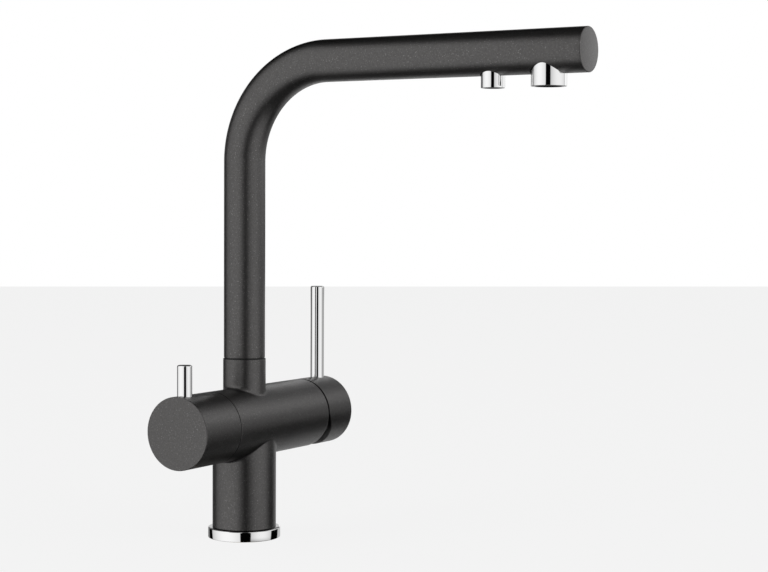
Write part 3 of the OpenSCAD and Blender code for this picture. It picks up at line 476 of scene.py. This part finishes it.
def make_body():
    """Body casting: the cross body is a barrel along X between two faces with bores, and neck and
    column grow out of it with their blends."""
    skin = Skin()
    low, high = CROSS_LEFT + RIM_ROUND, CROSS_RIGHT - RIM_ROUND
    barrel = Barrel(lambda x, t: round_cross(CROSS_R, t, x), CROSS_R, np.linspace(low, high, 110), 168)
    neck = joined(arc(NECK_R - NECK_ROUND, NECK_TOP - NECK_ROUND, NECK_ROUND, 0, 90, 4),
                  (NECK_BORE_R, NECK_TOP), (NECK_BORE_R, NECK_BORE_END), (WATERWAY_R, NECK_BORE_END),
                  (WATERWAY_R, WATERWAY_END), (0, WATERWAY_END))
    column = joined((COLUMN_R, RING_FLOOR), (COLUMN_BORE_R, RING_FLOOR), (COLUMN_BORE_R, BLOCK_TOP),
                    (0, BLOCK_TOP))
    add_post(skin, barrel, Junction(1, NECK_R, NECK_BLEND), NECK_ROOM, neck)
    add_post(skin, barrel, Junction(-1, COLUMN_R, COLUMN_BLEND), COLUMN_ROOM, column)
    barrel.add_to(skin, flip=True)
    left = joined(arc(CROSS_R - RIM_ROUND, low, RIM_ROUND, 0, -90), (VALVE_BORE_R, CROSS_LEFT),
                  (VALVE_BORE_R, VALVE_BORE_END), (0, VALVE_BORE_END))
    right = joined(arc(CROSS_R - RIM_ROUND, high, RIM_ROUND, 0, 90), (NUT_SEAT_R, CROSS_RIGHT),
                   (NUT_SEAT_R, NUT_SEAT_END), (SHOULDER_R, NUT_SEAT_END), (SHOULDER_R, SHOULDER_X),
                   (CHAMBER_R, SHOULDER_X), (CHAMBER_R, CHAMBER_X), (0, CHAMBER_X))
    for profile, flip in ((left, False), (right, True)):
        points = round_cross(profile[None, :, 0], full_turn(barrel.n), profile[None, :, 1])
        skin.grid(points, closed_u=True, flip=flip)
    skin.make("body_casting_skin", LACQUER, "fixed_body", "anthracite_lacquer", ["mixer_body"])


def window_wall(skin, outer, inner):
    """The wall of a round window, between the same window's edges in the outer and inner skin."""
    t = np.linspace(0, 1, 4)[None, :, None]
    skin.grid(outer[:, None] * (1 - t) + inner[:, None] * t, closed_u=True)


def make_cap(name, node, body, x0, x1, lever_x, boss_x, start):
    """Handle cap or knob: a cup along X from its open rim at x0 to the flat end at x1, with a hole
    for the lever in its wall. start(r, t) is the open rim's x at radius r and angle t."""
    skin, t = Skin(), full_turn(160)
    sign = 1.0 if x1 > x0 else -1.0
    length, hole_s, boss = abs(x1 - x0), abs(lever_x - x0), abs(boss_x - x0)
    inner_r, floor, rim = CROSS_R - CAP_WALL, length - CAP_END, RIM_ROUND / 2
    # From the start of a zone round the hole on, the stations stand square to the axis
    half_zone = 7.4
    zone = hole_s - half_zone
    edges = []
    for r, edge, stop in ((CROSS_R, rim, length - RIM_ROUND), (inner_r, CAP_EDGE, floor)):

        def place(s, t, r=r, edge=edge):
            """Before the hole's zone, the stations are drawn out to the open rim."""
            first = sign * (start(r, t) - x0) + edge
            s = np.where(s < zone, first + (s - edge) * (zone - first) / (zone - edge), s)
            return round_cross(r, t, x0 + sign * s)

        places = stations((edge, 15), (zone, 16), (zone + 2 * half_zone, 1), (stop, 0))
        barrel = Barrel(place, CROSS_R, places, len(t))
        hole = round_hole(hole_s, LEVER_HOLE_R, r)
        edges.append(barrel.window(hole_s, 0.0, LEVER_ROOM, hole, rows=5)[1])
        barrel.add_to(skin)
    window_wall(skin, *edges)

    def sweep(radii, x):
        skin.grid(round_cross(radii[None, :], t, x), closed_u=True)

    # Open rim: round outer edge, flat cut face, small inner edge
    q = np.radians(np.linspace(0, 90, 5))
    outer = start(CROSS_R, t) + sign * (rim - rim * np.sin(q))
    inner = start(inner_r, t) + sign * (CAP_EDGE - CAP_EDGE * np.sin(q))[::-1]
    sweep(np.concatenate([CROSS_R - rim + rim * np.cos(q),
                          inner_r + CAP_EDGE - CAP_EDGE * np.cos(q)[::-1]]),
          np.concatenate([outer, inner], 1))
    end = joined(arc(CROSS_R - RIM_ROUND, length - RIM_ROUND, RIM_ROUND, 0, 90), (0, length))
    inside = joined((inner_r, floor), (BOSS_R, floor), (BOSS_R, boss), (0, boss))
    for profile in (end, inside):
        sweep(profile[:, 0], x0 + sign * profile[:, 1])
    skin.make(name, LACQUER, body, "anthracite_lacquer", [node])


def wedge_start(r, t):
    """Rim of the handle cap: the body's right face, turned about the pivot by the full tilt and moved
    by some play, cuts the wedge away below. Above the wedge the cap starts square."""
    lean = CROSS_RIGHT - PIVOT_X + WEDGE_PLAY - r * np.cos(t) * math.sin(FLOW_ANGLE)
    return np.maximum(HANDLE_X, PIVOT_X + lean / math.cos(FLOW_ANGLE))


def square_start(r, t):
    """Rim of the knob: square to its axis all round."""
    return KNOB_X + 0 * t


def make_lever(name, node, body, x, tip, top):
    """Lever rod: threaded tip in the boss, shoulder, rod, rounded top."""
    foot = CROSS_Z + LEVER_SEAT
    rounded = arc(LEVER_R - LEVER_ROUND, top - LEVER_ROUND, LEVER_ROUND, 0, 90, 9)
    profile = joined((0, tip), (LEVER_TIP_R, tip), (LEVER_TIP_R, foot), (LEVER_R - EDGE, foot),
                     (LEVER_R, foot + EDGE), rounded, (0, top))
    turned_piece(name, profile, CHROME, body, "chrome", node, x=x, n=96)


def make_base_ring():
    """Base ring: a turned plate whose rim stands round the column, its outer edges rounded."""
    rim_r = COLUMN_R + COLUMN_PLAY
    profile = joined((RING_BORE_R, 0),
                     arc(RING_R - RING_FOOT_ROUND, RING_FOOT_ROUND, RING_FOOT_ROUND, -90, 0, 4),
                     arc(RING_R - RING_ROUND, RING_H - RING_ROUND, RING_ROUND, 0, 90, 9),
                     (rim_r, RING_H), (rim_r, RING_FLOOR), (RING_BORE_R, RING_FLOOR), (RING_BORE_R, 0))
    turned_piece("base_ring_skin", profile, CHROME, "fixed_body", "chrome", "base_ring", n=240)


# Stations of the spout: the riser's length, the bend's, and the one that lies at y = 0
RISE, BEND = SPOUT_Z - BEND_R - TUBE_BOTTOM, BEND_R * math.pi / 2
LEVEL = RISE + BEND - BEND_R


def spout_place(r):
    """Points on the spout: up the riser, a quarter circle, then level towards -Y. Angle 0 lies on
    the inside of the bend, which is the underside of the level part."""
    def place(s, t):
        q = np.clip((s - RISE) / BEND_R, 0, math.pi / 2)
        up, out = np.minimum(s, RISE), np.maximum(s - RISE - BEND, 0)
        y = -BEND_R + BEND_R * np.cos(q) - out
        z = TUBE_BOTTOM + up + BEND_R * np.sin(q)
        return np.stack([r * np.sin(t), y - r * np.cos(t) * np.cos(q),
                         z - r * np.cos(t) * np.sin(q)], -1)
    return place


def make_spout():
    """Bent tube with wall, two outlet holes and a dimple in its underside, and a closed flat end."""
    skin, t = Skin(), full_turn(192)
    # The stations lie closer together in a zone round the dimple and in one round the outlets
    dimple_zone = (LEVEL + 144.0, LEVEL + 156.0)
    outlet_zone = (LEVEL + 170.0, LEVEL + 248.0)
    holes = ((LEVEL - FILTER_Y, OUTLET_R + OUTLET_GAP, FILTER_ROOM),
             (LEVEL - AERATOR_Y, AERATOR_R + OUTLET_GAP, AERATOR_ROOM))
    edges = []
    for r, low, stop in ((TUBE_R, EDGE, SPOUT_END - RIM_ROUND), (TUBE_BORE_R, 0.0, SPOUT_END - PLUG_T)):
        places = stations((low, 49), (RISE, 63), (RISE + BEND, 29), (dimple_zone[0], 12),
                          (dimple_zone[1], 7), (outlet_zone[0], 65), (outlet_zone[1], 3),
                          (LEVEL + stop, 0))
        barrel = Barrel(spout_place(r), TUBE_R, places, len(t))
        for middle, hole_r, room in holes:
            hole = round_hole(middle, hole_r, r)
            edges.append(barrel.window(middle, 0.0, room, hole)[1])
        if r == TUBE_R:
            middle = LEVEL - DIMPLE_Y
            hole = round_hole(middle, DIMPLE_R, r)
            edge = barrel.window(middle, 0.0, DIMPLE_ROOM, hole, rows=4)[1][:, None]
            floor = edge.copy()
            floor[..., 2] = SPOUT_Z - TUBE_R + DIMPLE_H
            centre = np.broadcast_to(floor.mean(0), floor.shape)
            skin.grid(np.concatenate([edge, floor, centre], 1), closed_u=True)
        barrel.add_to(skin)
    window_wall(skin, edges[0], edges[2])
    window_wall(skin, edges[1], edges[3])
    lower = joined(arc(TUBE_R - EDGE, EDGE, EDGE, 0, -90, 4), (TUBE_BORE_R, 0))
    r, h = lower[None, :, 0], lower[None, :, 1]
    skin.grid(np.stack([r * np.sin(t), -r * np.cos(t), TUBE_BOTTOM + h + 0 * t], -1), closed_u=True)
    inner_end = SPOUT_END - PLUG_T
    for end in (joined(arc(TUBE_R - RIM_ROUND, SPOUT_END - RIM_ROUND, RIM_ROUND, 0, 90), (0, SPOUT_END)),
                joined((TUBE_BORE_R, inner_end), (0, inner_end))):
        r, h = end[None, :, 0], end[None, :, 1]
        skin.grid(np.stack([r * np.sin(t), -h + 0 * t, SPOUT_Z - r * np.cos(t)], -1), closed_u=True)
    skin.make("spout_tube_skin", LACQUER, "spout", "anthracite_lacquer", ["spout_tube", "spout_end_cap"])


def make_shank():
    """Threaded shank: one groove winds down it, and the groove's depth at height z and turn t is a
    clipped triangle wave of z / pitch - t, which runs out 1 mm under the ring. The lower end has a
    lead-in cone, and the head is plain."""
    t = full_turn(96)
    z = np.append(np.arange(SHANK_BOTTOM, RING_FLOOR, PITCH / 8), RING_FLOOR)[None, :]
    wave = np.abs(2 * ((z / PITCH - t / TAU) % 1) - 1)
    groove = np.clip((wave - THREAD_FLAT) / (1 - 2 * THREAD_FLAT), 0, 1)
    r = SHANK_R - THREAD_H * groove * np.clip((-1 - z) / PITCH, 0, 1)
    r = np.minimum(r, SHANK_R - LEAD_IN + z - SHANK_BOTTOM)
    ends = np.array([(HEAD_R, RING_FLOOR), (HEAD_R, HEAD_TOP - HEAD_CHAMFER),
                     (HEAD_R - HEAD_CHAMFER, HEAD_TOP), (SHANK_BORE_R, HEAD_TOP),
                     (SHANK_BORE_R, SHANK_BOTTOM)])
    r = np.concatenate([r, np.broadcast_to(ends[:, 0], (len(t), len(ends))), r[:, :1]], 1)
    z = np.concatenate([z[0], ends[:, 1], z[0, :1]])[None, :]
    skin = Skin()
    skin.grid(upright(r, t, z), closed_u=True)
    skin.make("threaded_shank_skin", BRASS, "fixed_body", "brass", ["threaded_shank"])


def make_nut():
    """Hexagonal nut: at each height its radius is the lesser of the hexagon's and of a flat cone's
    at either end, which rounds off the corners."""
    t = full_turn(180)
    height = NUT_TOP - NUT_BOTTOM
    z = NUT_BOTTOM + np.concatenate([np.linspace(0, NUT_CHAMFER_H, 9),
                                     np.linspace(height - NUT_CHAMFER_H, height, 9)])[None, :]
    hexagon = NUT_FLAT_R / np.cos(t % (math.pi / 3) - math.pi / 6)
    cone = np.minimum(z - NUT_BOTTOM, NUT_TOP - z) / math.tan(NUT_CHAMFER_ANGLE)
    cone = NUT_FLAT_R - NUT_CHAMFER + cone
    bore = np.full((len(t), 1), NUT_BORE_R)
    r = np.concatenate([bore, np.minimum(hexagon, cone), bore, bore], 1)
    z = np.concatenate([[NUT_BOTTOM], z[0], [NUT_TOP, NUT_BOTTOM]])[None, :]
    skin = Skin()
    skin.grid(upright(r, t, z), closed_u=True)
    skin.make("fixing_nut_skin", BRASS, "fixed_body", "brass", ["fixing_nut"], sharp=20.0)


def outlet_profile(r, shoulder, thread_r, bore_r, top, *inner):
    """Outlet housing: lower rim with its rounds, outer wall, shoulder, thread zone and bore."""
    return joined((bore_r, OUTLET_Z + EDGE), (bore_r + EDGE, OUTLET_Z),
                  arc(r - OUTLET_ROUND, OUTLET_Z + OUTLET_ROUND, OUTLET_ROUND, -90, 0),
                  (r, shoulder - EDGE), (r - EDGE, shoulder), (thread_r, shoulder), (thread_r, top),
                  *inner, (bore_r, OUTLET_Z + EDGE))


def make_outlets():
    """Aerator housing, open right through, and filtered water outlet with its narrower way."""
    aerator = outlet_profile(AERATOR_R, AERATOR_SHOULDER, AERATOR_THREAD_R, AERATOR_BORE_R,
                             AERATOR_THREAD_TOP, (AERATOR_BORE_R, AERATOR_THREAD_TOP))
    filtered = outlet_profile(OUTLET_R, OUTLET_SHOULDER, OUTLET_THREAD_R, OUTLET_BORE_R,
                              OUTLET_THREAD_TOP, (OUTLET_WAY_R, OUTLET_THREAD_TOP),
                              (OUTLET_WAY_R, OUTLET_WAY_BOTTOM), (OUTLET_BORE_R, OUTLET_WAY_BOTTOM))
    turned_piece("aerator_housing_skin", aerator, OUTLET_CHROME, "spout", "chrome",
                 "aerator_housing", y=AERATOR_Y)
    turned_piece("filter_outlet_skin", filtered, OUTLET_CHROME, "spout", "chrome",
                 "filter_outlet", y=FILTER_Y)


def finish_solids():
    """The CAD pieces that show as they are take the finish of their slot."""
    for part in frame["record"]["subparts"]:
        mesh = frame["nodes"][part["node"]].data
        mesh.materials.clear()
        mesh.materials.append(SLOT_LOOK[part["material_slot"]])


make_body()
make_cap("handle_cap_skin", "mixer_handle", "mixer_control", HANDLE_X, HANDLE_END, MIXER_LEVER_X,
         HANDLE_BOSS_X, wedge_start)
make_cap("filter_knob_skin", "filter_knob", "filter_control", KNOB_X, KNOB_END, FILTER_LEVER_X,
         KNOB_BOSS_X, square_start)
make_lever("mixer_lever_rod", "mixer_lever", "mixer_control", MIXER_LEVER_X, MIXER_LEVER_TIP,
           MIXER_LEVER_TOP)
make_lever("filter_lever_rod", "filter_lever", "filter_control", FILTER_LEVER_X, FILTER_LEVER_TIP,
           FILTER_LEVER_TOP)
make_base_ring()
make_spout()
make_shank()
make_nut()
make_outlets()
finish_solids()


# Camera: the photograph's own, found from its edges

# Angles in degrees, place and sensor in millimetres, focal length and width in the photograph's pixels
CAMERA_TURN, CAMERA_PITCH, CAMERA_ROLL = (math.radians(a) for a in (-59.67299, 2.483712, 0.273331))
CAMERA_BACK, CAMERA_RIGHT, CAMERA_UP = 1239.048, 96.505, 228.4226
FOCAL_PIXELS, PICTURE_PIXELS, SENSOR = 1791.677, 768, 36.0
BACK = (math.sin(CAMERA_TURN), -math.cos(CAMERA_TURN))
SIDE = (-BACK[1], BACK[0])


def make_camera():
    """The camera stands back, to the right and up from the origin, and looks down by its pitch."""
    back, right, up = Vector((*BACK, 0)), Vector((*SIDE, 0)), Vector((0, 0, 1))
    place = (back * CAMERA_BACK + right * CAMERA_RIGHT + up * CAMERA_UP) * MM
    forward = -back * math.cos(CAMERA_PITCH) - up * math.sin(CAMERA_PITCH)
    high = up * math.cos(CAMERA_PITCH) - back * math.sin(CAMERA_PITCH)
    r = right * math.cos(CAMERA_ROLL) + high * math.sin(CAMERA_ROLL)
    h = high * math.cos(CAMERA_ROLL) - right * math.sin(CAMERA_ROLL)
    camera = bpy.data.objects.new("camera", bpy.data.cameras.new("camera"))
    camera.data.sensor_width = SENSOR
    camera.data.lens = SENSOR * FOCAL_PIXELS / PICTURE_PIXELS
    camera.data.clip_end = 50.0
    camera.matrix_world = Matrix(((r.x, h.x, -forward.x, place.x), (r.y, h.y, -forward.y, place.y),
                                  (r.z, h.z, -forward.z, place.z), (0, 0, 0, 1)))
    bpy.context.scene.collection.objects.link(camera)
    bpy.context.scene.camera = camera


# Stage: floor, surround and lamps aren't part of the object

# Two points of the floor's far edge and its depth from there, in metres, and its colours
FLOOR_EDGE, FLOOR_DEPTH = np.array([(2.8382, 2.8192), (4.1845, 1.0044)]), 9.6
FLOOR_COLOR, FLOOR_GLOW = (0.045,) * 3, (0.86, 0.86, 0.86, 1.0)
# Radius and middle height of the surround in millimetres, and the light of its walls
SURROUND_R, SURROUND_Z = 650.0, 200.0
LEFT_LIGHT, RIGHT_LIGHT, SIDE_LIGHT, SIDE_FOOT_LIGHT, BRIGHTEST = 1.05, 0.97, 1.08, 0.4, 1.3
FAR_RIGHT_LIGHT, FAR_RIGHT_RIM, FAR_RIGHT_LOW, FAR_LEFT_LIGHT, LOW_WALL_LIGHT = 0.38, 0.85, 0.18, 0.22, 0.6
OVERHEAD_LIGHT, BELOW_LIGHT, DARK = 0.045, 0.1, 0.0008
# The point that the lamps face, in metres
LAMP_TARGET = Vector((0, 0, 0.17))


def stage_piece(name, points, faces, material):
    """A piece of the stage, from points in metres."""
    mesh = bpy.data.meshes.new(name)
    mesh.from_pydata(points, [], faces)
    mesh.materials.append(material)
    obj = bpy.data.objects.new(name, mesh)
    bpy.context.scene.collection.objects.link(obj)
    return obj


def make_floor():
    """Light floor; its far edge is the straight line behind the tap in the photograph."""
    look = Look("floor_light", FLOOR_COLOR, 0.9)
    look.set("Specular IOR Level", 0.0)
    glow = look.node("ShaderNodeEmission", Color=FLOOR_GLOW, Strength=1.0)
    lit = Val(look.tree, look.shader.outputs[0])
    both = add_node(look.tree, "ShaderNodeAddShader", inputs={0: lit, 1: glow})
    look.surface(Val(look.tree, both.outputs[0]))
    way = FLOOR_EDGE[1] - FLOOR_EDGE[0]
    left, right = FLOOR_EDGE[0] - way * 2, FLOOR_EDGE[1] + way * 2
    near = np.array(BACK) * FLOOR_DEPTH
    corners = [(*place, 0) for place in (left, left + near, right + near, right)]
    floor = stage_piece("floor", corners, [(0, 1, 2, 3)], look.material)
    floor.visible_glossy = floor.visible_diffuse = False


def surround_light(look):
    """Light of the surround by direction: a tall light wall on either side of the camera with a
    dark gap between them, another one to the far right, walls behind the tap that are dim but for
    one bright end, and little light overhead and below. A wall is a product of smooth steps of the
    direction's turn from the camera and of its height, both in degrees. The brightest one counts."""
    x, y, z = look.xyz()
    z = z - SURROUND_Z * MM
    ahead, across = x * BACK[0] + y * BACK[1], x * SIDE[0] + y * SIDE[1]
    turn = across.math("ARCTAN2", ahead) * (180 / math.pi)
    height = (z / distance(x, y, z)).math("ARCSINE") * (180 / math.pi)
    away = turn.math("ABSOLUTE")

    def hump(middle, half, drop):
        """1 in the middle, less by drop at half the wall's width to each side."""
        off = (turn - middle) / half
        return 1.0 - off * off * drop

    # The gap's edges lean: it is wider below the horizon than above
    left = turn.step(-117.5, -114.5) * (turn + height.step(8, -4) * 4).step(-2.5, -5.5)
    left = left * hump(-52, 60, 0.38) * height.between(-57, 66, 6) * LEFT_LIGHT
    right = (turn - height.step(6, -24) * 3).step(20.5, 23.5) * turn.step(100, 97)
    right = right * hump(62, 39, 0.38) * height.between(-40, 60, 9) * RIGHT_LIGHT
    side = height.between(3, 34, 4) * SIDE_LIGHT + height.between(-17, 3, 3) * SIDE_FOOT_LIGHT
    side = turn.between(98, 134, 4) * side
    # Behind the tap, a dark slit at the horizon crosses both far walls
    slit = height.between(-5, 3, 1) * away.step(150, 156)
    rim = turn.step(163, 173) * height.between(-14, 18, 4)
    far_right = turn.step(134, 140) * height.between(-48, 38, 8) * (1.0 - slit)
    far_right = far_right * (rim * FAR_RIGHT_RIM + height.step(10, -8) * FAR_RIGHT_LOW + FAR_RIGHT_LIGHT)
    far_left = turn.between(-177, -140, 3) * height.between(-50, 22, 12) * (1.0 - slit) * FAR_LEFT_LIGHT
    low_wall = away.step(158, 164) * height.between(-17, -5.8, 0.3) * LOW_WALL_LIGHT
    overhead, below = height.step(56, 74) * OVERHEAD_LIGHT, height.step(-46, -64) * BELOW_LIGHT
    level = largest(left, right, side, low_wall, far_right, far_left, overhead, below)
    return (level / BRIGHTEST).mix((DARK,) * 3, (BRIGHTEST,) * 3)


def make_surround():
    """A globe round the tap that only mirrors see, here its chrome and its lacquer."""
    look = Look("surround_light", (0, 0, 0), 1.0)
    look.surface(look.node("ShaderNodeEmission", Color=surround_light(look), Strength=1.0))
    u, v = full_turn(48), np.linspace(-math.pi / 2, math.pi / 2, 25)[None, :]
    skin = Skin()
    skin.grid(upright(SURROUND_R * np.cos(v), u, SURROUND_Z + SURROUND_R * np.sin(v)), closed_u=True)
    globe = stage_piece("surround", (skin.points[0] * MM).tolist(), skin.quads[0].tolist(),
                        look.material)
    globe.visible_camera = globe.visible_diffuse = globe.visible_shadow = False


def make_world():
    """White to the eye and to mirrors, and a plain grey light on everything else."""
    world = bpy.data.worlds.new("studio")
    bpy.context.scene.world = world
    world.use_nodes = True
    tree = world.node_tree
    path = add_node(tree, "ShaderNodeLightPath")
    rays = ("Is Camera Ray", "Is Glossy Ray", "Is Transmission Ray")
    seen = largest(*(Val(tree, path.outputs[ray]) for ray in rays))
    background = next(n for n in tree.nodes if n.type == "BACKGROUND")
    plug(tree, background.inputs["Color"], seen.mix((0.5,) * 3, (1.0,) * 3))
    plug(tree, background.inputs["Strength"], 1.0)


def lamp(name, turn, away, height, size, power):
    """A soft square light at a turn from the camera, facing the tap. Mirrors don't show it."""
    t = math.radians(turn)
    place = Vector(((BACK[0] * math.cos(t) + SIDE[0] * math.sin(t)) * away,
                    (BACK[1] * math.cos(t) + SIDE[1] * math.sin(t)) * away, height))
    data = bpy.data.lights.new(name, "AREA")
    data.shape, data.size, data.energy = "SQUARE", size, power
    obj = bpy.data.objects.new(name, data)
    obj.location = place
    obj.rotation_euler = (LAMP_TARGET - place).to_track_quat("-Z", "Y").to_euler()
    bpy.context.scene.collection.objects.link(obj)
    obj.visible_glossy = False


make_camera()
make_floor()
make_surround()
make_world()
lamp("left_light", -62, 2.2, 1.3, 1.6, 26)
lamp("right_light", 58, 2.2, 1.3, 1.4, 20)

bpy.context.scene.view_settings.view_transform = "Standard"
